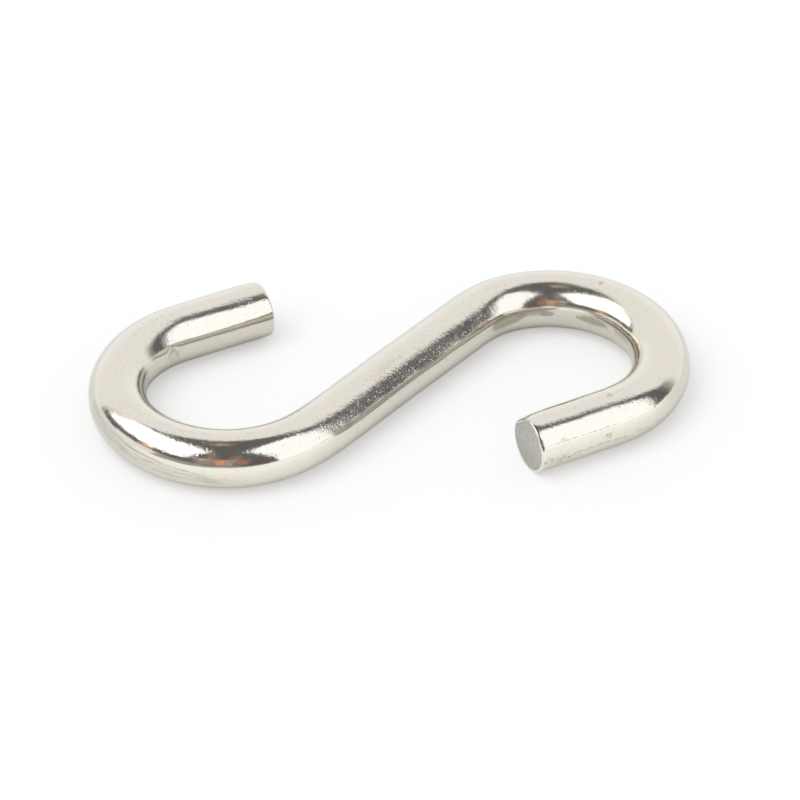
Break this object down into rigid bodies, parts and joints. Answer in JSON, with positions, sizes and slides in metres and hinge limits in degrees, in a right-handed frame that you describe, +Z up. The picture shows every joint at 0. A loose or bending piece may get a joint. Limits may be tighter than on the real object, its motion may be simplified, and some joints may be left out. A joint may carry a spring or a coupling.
{
  "type": "s hook",
  "caption": "S hook of bent round wire: a straight shank between two eyes that turn back past a half circle and end in short straight cropped tails.",
  "frame": {"origin": "below the middle of the shank, on the plane that the hook lies on", "axes": "+X along the line through the middles of the two eyes, the line that carries the load; +Z up from the plane that the hook lies on; +Y completes the right hand"},
  "size_m": [0.0513, 0.0273, 0.005],
  "materials": {
    "plated_steel": "gloss"
  },
  "bodies": {
    "root": {"hook": "plated_steel"}
  },
  "joints": []
}
